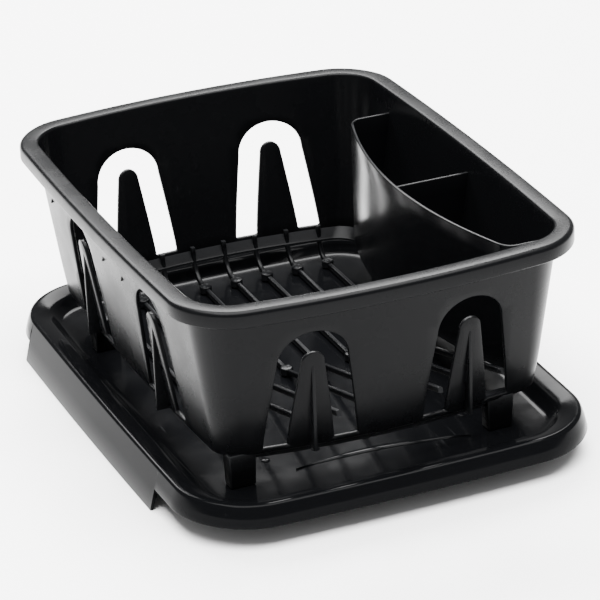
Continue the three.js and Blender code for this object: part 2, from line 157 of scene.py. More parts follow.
def round_edge(centre, radius, start, end, count=4):
    """Points of an arc, in degrees, in the plane of a section."""
    points = []
    for i in range(count + 1):
        angle = math.radians(start + (end - start) * i / count)
        points.append((centre[0] + radius * math.cos(angle), centre[1] + radius * math.sin(angle)))
    return points


def add_rings(mesh, rings, closed=True):
    """Joins rings of vertices with faces, ring to ring."""
    made = [[mesh.verts.new(point) for point in ring] for ring in rings]
    size = len(made[0])
    for low, high in zip(made, made[1:]):
        for i in range(size if closed else size - 1):
            j = (i + 1) % size
            mesh.faces.new((low[i], low[j], high[j], high[i]))
    return made


def finish_mesh(name, mesh, body, material, angle=40, join=1e-6):
    """Turns a bmesh into a smooth-shaded piece that rides on a body."""
    bmesh.ops.remove_doubles(mesh, verts=mesh.verts, dist=join)
    bmesh.ops.dissolve_degenerate(mesh, edges=mesh.edges, dist=join)
    bmesh.ops.recalc_face_normals(mesh, faces=mesh.faces)
    data = bpy.data.meshes.new(name)
    mesh.to_mesh(data)
    mesh.free()
    data.materials.append(material)
    data.shade_smooth()
    data.set_sharp_from_angle(angle=math.radians(angle))
    piece = bpy.data.objects.new(name, data)
    bpy.context.scene.collection.objects.link(piece)
    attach(piece, body)
    return piece


def new_group(name, inputs, outputs):
    """An empty shader node group with named sockets."""
    group = bpy.data.node_groups.new(name, "ShaderNodeTree")
    for socket, kind, value in inputs:
        made = group.interface.new_socket(socket, in_out="INPUT", socket_type=kind)
        made.default_value = value
    for socket, kind in outputs:
        group.interface.new_socket(socket, in_out="OUTPUT", socket_type=kind)
    return group, group.nodes.new("NodeGroupInput"), group.nodes.new("NodeGroupOutput")


def wire(tree, pairs):
    for source, target in pairs:
        tree.links.new(source, target)


def noise(tree, scale, detail, roughness=0.5):
    node = tree.nodes.new("ShaderNodeTexNoise")
    node.inputs["Scale"].default_value = scale
    node.inputs["Detail"].default_value = detail
    node.inputs["Roughness"].default_value = roughness
    return node


def remap(tree, low, high, to_low, to_high):
    node = tree.nodes.new("ShaderNodeMapRange")
    node.inputs["From Min"].default_value = low
    node.inputs["From Max"].default_value = high
    node.inputs["To Min"].default_value = to_low
    node.inputs["To Max"].default_value = to_high
    return node


def arithmetic(tree, operation, value=0.0):
    node = tree.nodes.new("ShaderNodeMath")
    node.operation = operation
    node.inputs[1].default_value = value
    return node


def moulded_skin():
    """Fine satin grain of a mould face, with slow waves where the plastic shrank as it cooled."""
    group, start, end = new_group(
        "moulded_skin",
        [("Grain", "NodeSocketFloat", 0.5), ("Waves", "NodeSocketFloat", 0.3)],
        [("Height", "NodeSocketFloat"), ("Gloss shift", "NodeSocketFloat")],
    )
    place = group.nodes.new("ShaderNodeTexCoord")
    grain = noise(group, 900, 4, 0.6)
    waves = noise(group, 16, 2)
    clouds = noise(group, 38, 5, 0.6)
    grain_part = arithmetic(group, "MULTIPLY")
    waves_part = arithmetic(group, "MULTIPLY")
    height = arithmetic(group, "ADD")
    shift = remap(group, 0.35, 0.7, -0.04, 0.05)
    wire(group, [
        (place.outputs["Object"], grain.inputs["Vector"]),
        (place.outputs["Object"], waves.inputs["Vector"]),
        (place.outputs["Object"], clouds.inputs["Vector"]),
        (grain.outputs["Fac"], grain_part.inputs[0]),
        (start.outputs["Grain"], grain_part.inputs[1]),
        (waves.outputs["Fac"], waves_part.inputs[0]),
        (start.outputs["Waves"], waves_part.inputs[1]),
        (grain_part.outputs[0], height.inputs[0]),
        (waves_part.outputs[0], height.inputs[1]),
        (height.outputs[0], end.inputs["Height"]),
        (clouds.outputs["Fac"], shift.inputs["Value"]),
        (shift.outputs[0], end.inputs["Gloss shift"]),
    ])
    return group


def handling_wear():
    """Hairline scuffs and rubbed edges, as a mask of where the plastic has gone pale and dull."""
    group, start, end = new_group(
        "handling_wear",
        [("Scuffs", "NodeSocketFloat", 0.3), ("Rubbed edges", "NodeSocketFloat", 0.3)],
        [("Mask", "NodeSocketFloat")],
    )
    place = group.nodes.new("ShaderNodeTexCoord")
    stretch = group.nodes.new("ShaderNodeMapping")
    stretch.inputs["Scale"].default_value = (260, 18, 120)
    stretch.inputs["Rotation"].default_value = (0.3, 0.2, 0.9)
    hairs = noise(group, 1, 3)
    thin = remap(group, 0.68, 0.78, 0, 1)
    patches = noise(group, 22, 2)
    where = remap(group, 0.5, 0.68, 0, 1)
    scuffs = arithmetic(group, "MULTIPLY")
    scuffs_part = arithmetic(group, "MULTIPLY")
    surface = group.nodes.new("ShaderNodeNewGeometry")
    edges = remap(group, 0.54, 0.62, 0, 1)
    edges_part = arithmetic(group, "MULTIPLY")
    both = arithmetic(group, "MAXIMUM")
    wire(group, [
        (place.outputs["Object"], stretch.inputs["Vector"]),
        (stretch.outputs["Vector"], hairs.inputs["Vector"]),
        (hairs.outputs["Fac"], thin.inputs["Value"]),
        (place.outputs["Object"], patches.inputs["Vector"]),
        (patches.outputs["Fac"], where.inputs["Value"]),
        (thin.outputs[0], scuffs.inputs[0]),
        (where.outputs[0], scuffs.inputs[1]),
        (scuffs.outputs[0], scuffs_part.inputs[0]),
        (start.outputs["Scuffs"], scuffs_part.inputs[1]),
        (surface.outputs["Pointiness"], edges.inputs["Value"]),
        (edges.outputs[0], edges_part.inputs[0]),
        (start.outputs["Rubbed edges"], edges_part.inputs[1]),
        (scuffs_part.outputs[0], both.inputs[0]),
        (edges_part.outputs[0], both.inputs[1]),
        (both.outputs[0], end.inputs["Mask"]),
    ])
    return group


skin_group = moulded_skin()
wear_group = handling_wear()


def black_plastic(name, colour, worn, shine, gloss, grain, waves, scuffs, edges):
    """Black moulded plastic: shine is the specular level and gloss the roughness of its clean skin,
    and worn the colour of scuffed places."""
    material = bpy.data.materials.new(name)
    material.use_nodes = True
    tree = material.node_tree
    shader = tree.nodes["Principled BSDF"]
    shader.inputs["IOR"].default_value = 1.49
    shader.inputs["Specular IOR Level"].default_value = shine
    skin = tree.nodes.new("ShaderNodeGroup")
    skin.node_tree = skin_group
    skin.inputs["Grain"].default_value = grain
    skin.inputs["Waves"].default_value = waves
    wear = tree.nodes.new("ShaderNodeGroup")
    wear.node_tree = wear_group
    wear.inputs["Scuffs"].default_value = scuffs
    wear.inputs["Rubbed edges"].default_value = edges
    mix = tree.nodes.new("ShaderNodeMix")
    mix.data_type = "RGBA"
    mix.inputs["A"].default_value = (*colour, 1)
    mix.inputs["B"].default_value = (*worn, 1)
    gloss_sum = arithmetic(tree, "ADD", gloss)
    duller = arithmetic(tree, "MULTIPLY_ADD", 0.25)
    bump = tree.nodes.new("ShaderNodeBump")
    bump.inputs["Strength"].default_value = 0.35
    bump.inputs["Distance"].default_value = 0.2 * mm
    wire(tree, [
        (wear.outputs["Mask"], mix.inputs["Factor"]),
        (mix.outputs["Result"], shader.inputs["Base Color"]),
        (skin.outputs["Gloss shift"], gloss_sum.inputs[0]),
        (wear.outputs["Mask"], duller.inputs[0]),
        (gloss_sum.outputs[0], duller.inputs[2]),
        (duller.outputs[0], shader.inputs["Roughness"]),
        (skin.outputs["Height"], bump.inputs["Height"]),
        (bump.outputs["Normal"], shader.inputs["Normal"]),
    ])
    return material


black_tone = (0.002, 0.0021, 0.0024)
rubbed_tone = (0.03, 0.031, 0.033)
shell_plastic = black_plastic(
    "shell_plastic", black_tone, rubbed_tone,
    shine=0.055, gloss=0.28, grain=0.1, waves=0.4, scuffs=0.2, edges=0.2,
)
basket_form = {
    "half_x": (rim_high.x - rim_low.x) / 2,
    "half_y": (rim_high.y - rim_low.y) / 2,
    "corner": 30 * mm,
    "least_corner": 12 * mm,
    "side_bow": 3.3 * mm,
    "end_bow": 9.5 * mm,
    "true_run": (84 * mm, 74 * mm),  # distance along the edge is true this far from a middle
    "middle": basket_middle,
}


def wall_inner(z):
    return rim_width + wall_lean * (rim_top - z)


def wall_outer(z):
    return wall_inner(z) - wall_thick


def inside(polygon, x, y):
    found = False
    for (x1, y1), (x2, y2) in zip(polygon, polygon[1:] + polygon[:1]):
        if (y1 > y) != (y2 > y) and x < (x2 - x1) * (y - y1) / (y2 - y1) + x1:
            found = not found
    return found


def offset_outline(points, distance):
    """A closed outline moved outwards along the average of its neighbouring edges."""
    moved = []
    for before, here, after in zip(points[-1:] + points[:-1], points, points[1:] + points[:1]):
        one = Vector((here[1] - before[1], before[0] - here[0])).normalized()
        two = Vector((after[1] - here[1], here[0] - after[0])).normalized()
        reach = (one + two).normalized()
        stretch = distance / max(0.5, reach.dot(one))
        moved.append((here[0] + reach.x * stretch, here[1] + reach.y * stretch))
    return moved


def soften_corners(points, radius, sharp=0.6):
    """Cuts each sharp corner of an outline with a small curve."""
    softened = []
    for before, here, after in zip(points[-1:] + points[:-1], points, points[1:] + points[:1]):
        back = (Vector(before) - Vector(here)).normalized()
        ahead = (Vector(after) - Vector(here)).normalized()
        if back.angle(ahead) > math.pi - sharp:
            softened.append(here)
            continue
        for share in (1, 0.45, 0.12):
            softened.append(tuple(Vector(here) + back * radius * share))
        for share in (0.12, 0.45, 1):
            softened.append(tuple(Vector(here) + ahead * radius * share))
    return softened


def window_outline(centre, sill):
    """The arched opening with a tongue standing in it, counterclockwise seen from outside."""
    foot, shoulder, rise = 26 * mm, 19.5 * mm, 65 * mm
    arch_rise = 17.2 * mm
    shoulder_rise = rise - arch_rise
    tongue_foot, tip, tip_rise = 12.8 * mm, 6.3 * mm, 53 * mm
    side_curve = 1.15  # just over 1, so that the sides bend a little instead of running straight
    points = []
    for i in range(9):
        share = i / 8
        points.append((foot + (shoulder - foot) * share ** side_curve, shoulder_rise * share))
    side_count = len(points)
    for i in range(1, 24):
        angle = math.pi * i / 24
        arch = (shoulder * math.cos(angle), shoulder_rise + arch_rise * math.sin(angle))
        points.append(arch)
    points += [(-x, y) for x, y in reversed(points[:side_count])]
    straight = tip_rise - tip
    tongue = []
    for i in range(8):
        share = i / 8
        x = -tongue_foot + (tongue_foot - tip) * share ** side_curve
        tongue.append((x, straight * share))
    for i in range(13):
        angle = math.pi * (1 - i / 12)
        tongue.append((tip * math.cos(angle), straight + tip * math.sin(angle)))
    tongue += [(-x, y) for x, y in reversed(tongue[:8])]
    corner_round = 1.2 * mm
    outline = soften_corners(points + tongue, corner_round)
    return [(centre + x, sill + y) for x, y in outline]


edge_soft = 0.5 * mm
skin_top = rim_top - 4.6 * mm
skin_foot = wall_foot + 0.8 * mm
sill = wall_foot + 3.3 * mm
stations = edge_steps(basket_form, 6 * mm, 18)
edge_length = 4 * sum(side_lengths(basket_form))
back, left, front = 1, 2, 3
window_spreads = {back: 45 * mm, left: 55 * mm, front: 45 * mm}
windows = []
for side, spread in window_spreads.items():
    middle = side_middle(basket_form, side)
    for half in (-1, 1):
        windows.append(window_outline(middle + half * spread, sill))
seam = stations[0]
columns = stations + [seam + edge_length]
rows = [skin_foot + (skin_top - skin_foot) * i / 12 for i in range(13)]
flat_points, flat_edges = [], []


def add_flat_loop(points):
    first = len(flat_points)
    flat_points.extend(Vector(p) for p in points)
    count = len(points)
    flat_edges.extend((first + i, first + (i + 1) % count) for i in range(count))


border = [(column, skin_foot) for column in columns]
border += [(columns[-1], row) for row in rows[1:-1]]
border += [(column, skin_top) for column in reversed(columns)]
border += [(columns[0], row) for row in reversed(rows[1:-1])]
add_flat_loop(border)
for outline in windows:
    add_flat_loop(offset_outline(outline, edge_soft))
window_border = 2.2 * mm
keep_out = [offset_outline(outline, window_border) for outline in windows]
for column in columns[1:-1]:
    for row in rows[1:-1]:
        if not any(inside(outline, column, row) for outline in keep_out):
            flat_points.append(Vector((column, row)))
flat_skin = delaunay_2d_cdt(flat_points, flat_edges, [], 0, 1e-9)
shell = bmesh.new()
for depth_of, order in ((wall_outer, 1), (wall_inner, -1)):
    verts = [
        shell.verts.new(edge_point(basket_form, p.x, depth_of(p.y), p.y)) for p in flat_skin[0]
    ]
    for triangle in flat_skin[2]:
        corners = [flat_skin[0][i] for i in triangle]
        x = sum(c.x for c in corners) / 3
        y = sum(c.y for c in corners) / 3
        if any(inside(outline, x, y) for outline in windows):
            continue
        shell.faces.new([verts[i] for i in triangle[::order]])
for outline in windows:
    rings = []
    for out, depth in (
        (1, 0), (0.29, 0.29), (0, 1),
        (0, wall_thick / edge_soft - 1), (0.29, wall_thick / edge_soft - 0.29),
        (1, wall_thick / edge_soft),
    ):
        ring = offset_outline(outline, out * edge_soft)
        inset = depth * edge_soft
        rings.append([edge_point(basket_form, x, wall_outer(y) + inset, y) for x, y in ring])
    add_rings(shell, rings)

foot_middle = (wall_inner(wall_foot) + wall_outer(wall_foot)) / 2
foot_section = [
    (wall_inner(skin_foot), skin_foot),
    (wall_inner(wall_foot) - 0.25 * mm, wall_foot + 0.25 * mm),
    (foot_middle + 0.3 * mm, wall_foot),
    (foot_middle - 0.3 * mm, wall_foot),
    (wall_outer(wall_foot) + 0.25 * mm, wall_foot + 0.25 * mm),
    (wall_outer(skin_foot), skin_foot),
]
under_rim = rim_top - wall_thick
lip_foot = rim_top - rim_lip
inner_round, outer_round, lip_round = 1.6 * mm, 2.6 * mm, 1 * mm
throat = 2 * mm
rim_section = [(wall_inner(skin_top), skin_top)]
rim_section += round_edge(
    (wall_inner(rim_top - inner_round) - inner_round, rim_top - inner_round), inner_round, 0, 90)
rim_section += round_edge((outer_round, rim_top - outer_round), outer_round, 90, 180, 6)
rim_section += round_edge((lip_round, lip_foot + lip_round), lip_round, 180, 360, 6)
rim_section += round_edge((3 * mm, under_rim - 1 * mm), 1 * mm, 180, 90, 3)
rim_section += round_edge(
    (wall_outer(under_rim) - throat, under_rim - throat), throat, 90, 0, 4)
rim_section += [(wall_outer(skin_top), skin_top)]
for section in (foot_section, rim_section):
    add_rings(shell, [[edge_point(basket_form, s, i, z) for s in stations] for i, z in section])
basket_shell = finish_mesh("basket_shell", shell, "rack", shell_plastic, angle=50)
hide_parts("rack_rim", "wall_front", "wall_back", "wall_left", "wall_right")

# ---- floor ledge ----
# The foot of the wall turns in and down all round as a narrow sloping ledge, moulded in one with it.
# It lies behind the bent ends of the plate ribs and leaves the rest of the rack's floor open.
ledge_width = 3.5 * mm
ledge_fall = 5 * mm
ledge_thick = 1.8 * mm
ledge_root = wall_inner(wall_foot) - 0.4 * mm
ledge_end = wall_inner(wall_foot) + ledge_width
ledge_top = wall_foot + ledge_thick
ledge_section = [
    (ledge_root, ledge_top),
    (ledge_end - 0.5 * mm, ledge_top - ledge_fall),
    (ledge_end, ledge_top - ledge_fall - 0.5 * mm),
    (ledge_end, ledge_top - ledge_fall - ledge_thick),
    (ledge_root, wall_foot + 0.1 * mm),
    (ledge_root, ledge_top),
]
ledge = bmesh.new()
add_rings(ledge, [
    [edge_point(basket_form, s, inset, z) for s in stations] for inset, z in ledge_section
])
piece = finish_mesh("floor_ledge", ledge, "rack", shell_plastic)

# ---- tongue ribs ----
# A thin upright fin down the outside of each window's tongue, moulded with the wall. Its outer edge
# is upright and the wall slopes in towards the foot, so the fin is deepest there.
fin_thick = 1.8 * mm
fin_top = sill + 45 * mm
fin_sunk = 1.2 * mm
fin_soft = 0.35 * mm


def prism(mesh, outline, across):
    """A flat outline given thickness along a vector, centred on the outline."""
    low = [mesh.verts.new(Vector(p) - across / 2) for p in outline]
    high = [mesh.verts.new(Vector(p) + across / 2) for p in outline]
    mesh.faces.new(low)
    mesh.faces.new(high[::-1])
    for i in range(len(low)):
        j = (i + 1) % len(low)
        mesh.faces.new((low[i], high[i], high[j], low[j]))


def soften_edges(mesh, width, segments=2):
    """Rounds every edge of a plain solid that is sharper than 25 degrees."""
    bmesh.ops.recalc_face_normals(mesh, faces=mesh.faces)
    sharp = [e for e in mesh.edges if len(e.link_faces) == 2
             and e.calc_face_angle() > math.radians(25)]
    bmesh.ops.bevel(
        mesh, geom=sharp, offset=width, segments=segments, profile=0.5,
        affect="EDGES", clamp_overlap=True,
    )


wall_names = {back: "back", left: "left", front: "front"}
for side, spread in window_spreads.items():
    for half in (-1, 1):
        place = side_middle(basket_form, side) + half * spread

        def on_wall(out, z):
            return edge_point(basket_form, place, wall_outer(z) + fin_sunk - out, z)

        top = on_wall(0, fin_top)
        outer = on_wall(fin_sunk, fin_top)
        foot = on_wall(0, wall_foot)
        fin = bmesh.new()
        outline = [top, outer, Vector((outer.x, outer.y, wall_foot)), foot]
        across = Vector((0, fin_thick, 0)) if side == left else Vector((fin_thick, 0, 0))
        prism(fin, outline, across)
        soften_edges(fin, fin_soft)
        number = 1 if half < 0 else 2
        piece = finish_mesh(
            f"tongue_rib_{wall_names[side]}_{number}", fin, "rack", shell_plastic)

# ---- rim pips ----
# Small wedges under the rim, moulded on the outside of the wall and standing out about a millimetre.
# Four are on the left wall and two on the front one.
pips = [(left, -place * mm, 30 * mm) for place in (137, 104, 12, -18)]
pips += [(front, place * mm, 10.6 * mm) for place in (-37, -10)]
pip_height = 3.4 * mm
pip_width = 1.4 * mm
pip_reach = 1.1 * mm
pip_sunk = 0.4 * mm
pip_soft = 0.2 * mm
for number, (side, place, drop) in enumerate(pips):
    along = side_middle(basket_form, side) + place
    z = rim_top - drop
    head_z = z + pip_height
    root = edge_point(basket_form, along, wall_outer(z) + pip_sunk, z)
    tip = edge_point(basket_form, along, wall_outer(z) - pip_reach, z)
    head = edge_point(basket_form, along, wall_outer(head_z) + pip_sunk, head_z)
    near_side = edge_point(basket_form, along, wall_outer(z), z)
    far_side = edge_point(basket_form, along + pip_width, wall_outer(z), z)
    pip = bmesh.new()
    prism(pip, [root, tip, head], far_side - near_side)
    soften_edges(pip, pip_soft)
    piece = finish_mesh(f"rim_pip_{number + 1}", pip, "rack", shell_plastic)

# ---- plate ribs ----
# Eight bent bars that hold the plates apart, moulded across the open floor from the back wall to
# the front one. Each has a round boss at both of its bends.
rib_plastic = black_plastic(
    "rib_plastic", black_tone, (0.035, 0.036, 0.038),
    shine=0.065, gloss=0.28, grain=0.05, waves=0.2, scuffs=0.3, edges=0.3,
)
boss_radius = 3.5 * mm
boss_proud = 1 * mm
boss_round = 0.8 * mm
rib_width = 2.4 * mm
rib_depth = 3.2 * mm
rib_soft = 0.6 * mm
rib_back_rise = 4 * mm
bend_run = 6 * mm
back_bend = basket_middle.y + 105 * mm
front_bend = basket_middle.y - 12 * mm


def sweep_bar(mesh, centres, width, depth, soft):
    """A bar with a softened rectangular section along a bent line that lies in one upright plane."""
    rings = []
    for i, here in enumerate(centres):
        before, after = centres[max(i - 1, 0)], centres[min(i + 1, len(centres) - 1)]
        ahead = (after - before).normalized()
        up = Vector((1, 0, 0)).cross(ahead).normalized()
        ring = []
        for x, y, turn in ((1, 1, 0), (-1, 1, 90), (-1, -1, 180), (1, -1, 270)):
            corner = (x * (width / 2 - soft), y * (depth / 2 - soft))
            for a, b in round_edge(corner, soft, turn, turn + 90, 3):
                ring.append(here + Vector((1, 0, 0)) * a + up * b)
        rings.append(ring)
    made = add_rings(mesh, rings)
    mesh.faces.new(made[0])
    mesh.faces.new(made[-1][::-1])


def turn_post(mesh, base, section, count=28):
    """A round post turned from a section of (radius, height) points."""
    rings = []
    for radius, height in section:
        ring = []
        for i in range(count):
            angle = 2 * math.pi * i / count
            ring.append(base + Vector((radius * math.cos(angle), radius * math.sin(angle), height)))
        rings.append(ring)
    made = add_rings(mesh, rings)
    mesh.faces.new(made[0])
    mesh.faces.new(made[-1][::-1])


for number in range(1, 9):
    node = f"plate_rib_{number}"
    low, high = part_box(node)
    x = (low.x + high.x) / 2
    run_middle = low.z + rib_depth / 2
    end_back = Vector((x, high.y - rib_depth / 2 + 0.6 * mm, wall_foot + rib_back_rise))
    bend = Vector((x, back_bend, run_middle))
    knee = Vector((x, end_back.y - 0.4 * mm, run_middle))
    line = []
    for i in range(15):
        share = i / 14
        line.append(end_back * (1 - share) ** 2 + knee * 2 * share * (1 - share) + bend * share ** 2)
    turn_at = Vector((x, front_bend, run_middle))
    end_front = Vector((x, low.y - 0.8 * mm, high.z - 1.4 * mm))
    for i in range(1, 12):
        line.append(bend.lerp(turn_at, i / 12))
    near = turn_at + Vector((0, bend_run, 0))
    far = turn_at + (end_front - turn_at).normalized() * bend_run
    for i in range(5):
        share = i / 4
        line.append(near * (1 - share) ** 2 + turn_at * 2 * share * (1 - share) + far * share ** 2)
    for i in range(2, 13):
        line.append(turn_at.lerp(end_front, i / 12))
    rib = bmesh.new()
    sweep_bar(rib, line, rib_width, rib_depth, rib_soft)
    for y in (back_bend, front_bend):
        height = rib_depth + boss_proud
        section = [(boss_radius - 0.5 * mm, 0), (boss_radius, 0.4 * mm)]
        section += round_edge(
            (boss_radius - boss_round, height - boss_round), boss_round, 0, 90)
        section += [(1.2 * mm, height + 0.1 * mm)]
        turn_post(rib, Vector((x, y, low.z)), section)
    piece = finish_mesh(f"rib_{number}", rib, "rack", rib_plastic)
    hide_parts(node)

# ---- cutlery pocket ----
# A bulging wall with two short arms, a wall across its middle and a slotted floor, moulded onto the
# basket's right side. Together they make two upright pockets for cutlery.
pocket_plastic = black_plastic(
    "pocket_plastic", black_tone, rubbed_tone,
    shine=0.065, gloss=0.2, grain=0.08, waves=1.0, scuffs=0.25, edges=0.25,
)
pocket_low, pocket_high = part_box("pocket_wall")
pocket_thick = 1.8 * mm
pocket_top_round = 0.6 * mm
pocket_bulge = 14.5 * mm
pocket_corner = 10 * mm
pocket_middle = (pocket_low.y + pocket_high.y) / 2
pocket_half = (pocket_high.y - pocket_low.y) / 2


def right_wall(y, z):
    """How far right the middle of the basket's right wall is."""
    inset = (wall_inner(z) + wall_outer(z)) / 2
    half_x = basket_form["half_x"] - inset
    half_y = basket_form["half_y"] - inset
    bow = basket_form["side_bow"] * ((y - basket_middle.y) / half_y) ** 2
    return basket_middle.x + half_x - bow


def pocket_line(inset, z):
    """The pocket wall's plan at a height: an arm, a corner, the bulge, a corner and an arm."""
    half = pocket_half - inset
    radius = pocket_corner - inset
    near = pocket_low.x + inset
    arm = pocket_low.x + pocket_bulge + pocket_corner
    side = pocket_low.x + pocket_bulge + inset
    run = pocket_half - pocket_corner
    quarter = []
    for i in range(7):
        share = i / 6
        quarter.append((arm + (right_wall(pocket_middle + half, z) - arm) * (1 - share), half))
    for i in range(1, 9):
        share = i / 8
        start = Vector((arm, half))
        knee = Vector((side + radius / 4, half))
        end = Vector((side, half - radius))
        point = start * (1 - share) ** 2 + knee * 2 * share * (1 - share) + end * share ** 2
        quarter.append(tuple(point))
    for i in range(1, 19):
        along = 1 - i / 18
        quarter.append((near + pocket_bulge * along ** 2, along * run))
    whole = quarter + [(x, -y) for x, y in reversed(quarter[:-1])]
    return [Vector((x, pocket_middle + y, z)) for x, y in whole]


def upright_sheet(mesh, line_of, low, high, thick, soft, rows=8):
    """A thin upright wall with a rounded top. line_of gives its plan line at an inset and height."""
    section = [(0, low + (high - soft - low) * i / rows) for i in range(rows + 1)]
    section += [(soft - soft * math.cos(a), high - soft + soft * math.sin(a))
                for a in (math.pi / 6, math.pi / 3, math.pi / 2)]
    section += [(thick - inset, z) for inset, z in reversed(section)]
    add_rings(mesh, [line_of(inset, z) for inset, z in section], closed=False)
    bmesh.ops.remove_doubles(mesh, verts=mesh.verts, dist=1e-6)
    bmesh.ops.holes_fill(mesh, edges=[e for e in mesh.edges if e.is_boundary], sides=0)


sheet = bmesh.new()
upright_sheet(
    sheet, pocket_line, pocket_low.z, pocket_high.z, pocket_thick, pocket_top_round)
pocket_wall = finish_mesh("pocket_wall_skin", sheet, "rack", pocket_plastic)
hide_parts("pocket_wall")

divider_low, divider_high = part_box("pocket_divider")
divider_foot = pocket_low.z + 1 * mm


def divider_line(inset, z):
    y = divider_low.y + inset
    start = pocket_low.x + pocket_thick / 2
    return [Vector((start + (right_wall(y, z) - start) * i / 8, y, z)) for i in range(9)]


sheet = bmesh.new()
upright_sheet(
    sheet, divider_line, divider_foot, divider_high.z, pocket_thick, pocket_top_round)
divider = finish_mesh("pocket_divider_skin", sheet, "rack", pocket_plastic)
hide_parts("pocket_divider")

floor_low, floor_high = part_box("pocket_floor")
slot_count = 10
slot_pitch = 14 * mm
slot_half = (8 * mm, 2.5 * mm)
slot_round = 2 * mm
slot_x = basket_middle.x + 75.3 * mm
flat_points, flat_edges, slots = [], [], []
outer_line = [(p.x, p.y) for p in pocket_line(pocket_thick / 2, floor_low.z)]
add_flat_loop(outer_line)
for i in range(slot_count):
    y = pocket_middle + (i - (slot_count - 1) / 2) * slot_pitch
    hole = []
    for turn, corner in ((270, (1, -1)), (0, (1, 1)), (90, (-1, 1)), (180, (-1, -1))):
        centre = (
            slot_x + corner[0] * (slot_half[0] - slot_round),
            y + corner[1] * (slot_half[1] - slot_round),
        )
        hole += round_edge(centre, slot_round, turn, turn + 90)
    slots.append(hole)
    add_flat_loop(hole)
flat_floor = delaunay_2d_cdt(flat_points, flat_edges, [], 1, 1e-9)
plate = bmesh.new()
for z, order in ((floor_low.z, -1), (floor_high.z, 1)):
    verts = [plate.verts.new((p.x, p.y, z)) for p in flat_floor[0]]
    for triangle in flat_floor[2]:
        corners = [flat_floor[0][i] for i in triangle]
        x = sum(c.x for c in corners) / 3
        y = sum(c.y for c in corners) / 3
        if not any(inside(hole, x, y) for hole in slots):
            plate.faces.new([verts[i] for i in triangle[::order]])
for loop in slots + [outer_line]:
    add_rings(plate, [[Vector((x, y, z)) for x, y in loop] for z in (floor_low.z, floor_high.z)])
pocket_floor = finish_mesh("pocket_floor_plate", plate, "rack", pocket_plastic)
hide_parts("pocket_floor")

# ---- feet ----
# Four short legs moulded under the wall's bottom edge. They stand on the tray's floor and hold the
# rack clear of the drip water.
leg_top = wall_foot + 1.5 * mm
leg_taper = 0.6 * mm
leg_soft = 0.8 * mm
for place in ("front_left", "front_right", "back_left", "back_right"):
    low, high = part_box("foot_" + place)
    middle = (low + high) / 2
    leg = bmesh.new()
    outline = [(low.x, low.y), (high.x, low.y), (high.x, high.y), (low.x, high.y)]
    rings = []
    for z, shrink in ((low.z, leg_taper), (leg_top, 0)):
        ring = []
        for x, y in outline:
            leg_x = x - math.copysign(shrink, x - middle.x)
            leg_y = y - math.copysign(shrink, y - middle.y)
            ring.append(Vector((leg_x, leg_y, z)))
        rings.append(ring)
    made = add_rings(leg, rings)
    leg.faces.new(made[0])
    leg.faces.new(made[1][::-1])
    soften_edges(leg, leg_soft, 3)
    piece = finish_mesh("leg_" + place, leg, "rack", shell_plastic)
    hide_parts("foot_" + place)

# ---- drip tray ----
# A second black moulding that catches the water: a shallow pan with a sloping rim, a lip turned
# down all round, and a skirt under each long side that reaches the table.
tray_plastic = black_plastic(
    "tray_plastic", (0.0018, 0.0019, 0.0022), (0.035, 0.036, 0.038),
    shine=0.025, gloss=0.13, grain=0.04, waves=0.1, scuffs=0.3, edges=0.12,
)
pan_low, pan_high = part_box("tray_rim")
rail_low, rail_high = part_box("tray_rail_left")
tray_middle = (pan_low + pan_high) / 2
lip_foot_z = pan_low.z
tray_top = pan_high.z
flare = 0.24  # how far the lip and the skirts lean out, per unit of height
lip_flare = flare * (tray_top - lip_foot_z)
tray_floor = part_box("foot_front_left")[0].z - 0.3 * mm
tray_form = {
    "half_x": (pan_high.x - pan_low.x) / 2 - lip_flare,
    "half_y": (pan_high.y - pan_low.y) / 2 - lip_flare,
    "corner": 40 * mm,
    "least_corner": 10 * mm,
    "side_bow": 2 * mm,
    "end_bow": 3 * mm,
    "true_run": (0, 0),
    "middle": tray_middle,
}
tray_rim_width = 11 * mm
tray_rim_fall = 2 * mm
tray_edge_round = 2.4 * mm
pan_slope = 6 * mm
tray_wall = 2 * mm


def tray_section(foot_z):
    """The tray's section from the pan's floor out over the rim, down to the lip's foot and back."""
    inner_z = tray_top - tray_rim_fall
    section = [
        (100 * mm, tray_floor), (70 * mm, tray_floor), (40 * mm, tray_floor),
        (tray_rim_width + pan_slope + 3 * mm, tray_floor),
        (tray_rim_width + pan_slope + 1 * mm, tray_floor + 0.15 * mm),
        (tray_rim_width + pan_slope - 0.5 * mm, tray_floor + 0.8 * mm),
        (tray_rim_width + 2.2 * mm, inner_z - 2.0 * mm),
        (tray_rim_width + 0.9 * mm, inner_z - 0.7 * mm),
        (tray_rim_width - 0.6 * mm, inner_z),
        (tray_rim_width * 0.6, tray_top - 0.9 * mm),
        (3.6 * mm, tray_top - 0.15 * mm),
    ]
    section += round_edge(
        (tray_edge_round, tray_top - tray_edge_round), tray_edge_round, 90, 166, 6)
    foot_inset = -flare * (tray_top - foot_z)
    middle_z = (foot_z + tray_top) / 2
    section += [
        (-flare * (tray_top - middle_z), middle_z),
        (foot_inset + flare * 0.5 * mm, foot_z + 0.5 * mm),
        (foot_inset + 0.3 * mm, foot_z),
        (foot_inset + 1.7 * mm, foot_z),
        (foot_inset + 2 * mm, foot_z + 0.4 * mm),
        (tray_wall, tray_top - tray_wall - 1 * mm),
        (tray_rim_width, inner_z - tray_wall),
        (tray_rim_width + pan_slope, tray_floor - tray_wall),
        (40 * mm, tray_floor - tray_wall),
        (100 * mm, tray_floor - tray_wall),
    ]
    return section


tray_stations = edge_steps(tray_form, 6 * mm, 24)
